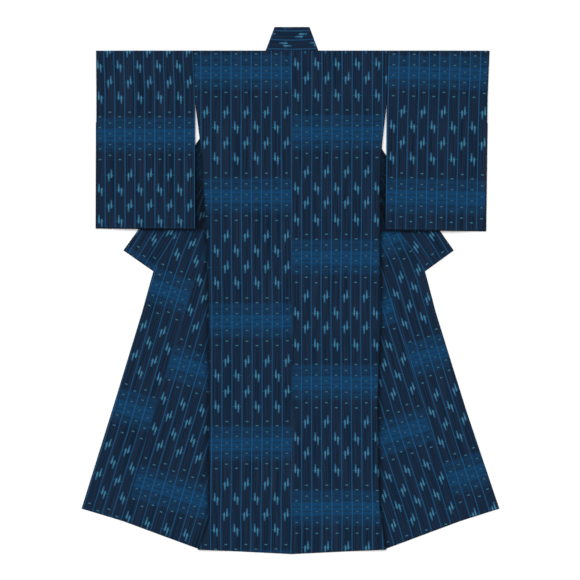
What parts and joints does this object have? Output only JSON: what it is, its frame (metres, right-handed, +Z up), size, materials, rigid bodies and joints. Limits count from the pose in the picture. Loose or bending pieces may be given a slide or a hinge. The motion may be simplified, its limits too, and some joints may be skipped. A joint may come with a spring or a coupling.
{
  "type": "kimono",
  "caption": "Long robe with wide square sleeves, laid flat with its back up and its front panels turned outward, in indigo cotton with small woven splash marks.",
  "frame": {"origin": "below the middle of the laid-out garment's outline, on the surface that it lies on", "axes": "+Y towards the collar, +Z up from the surface, +X towards the wearer's right sleeve"},
  "size_m": [1.3378, 1.688, 0.0054],
  "materials": {
    "kasuri_cotton": "matt indigo cotton with woven kasuri marks"
  },
  "bodies": {
    "root": {"body_left": "kasuri_cotton", "body_right": "kasuri_cotton", "okumi_left": "kasuri_cotton", "okumi_right": "kasuri_cotton", "sleeve_left": "kasuri_cotton", "sleeve_right": "kasuri_cotton", "collar": "kasuri_cotton"}
  },
  "joints": []
}
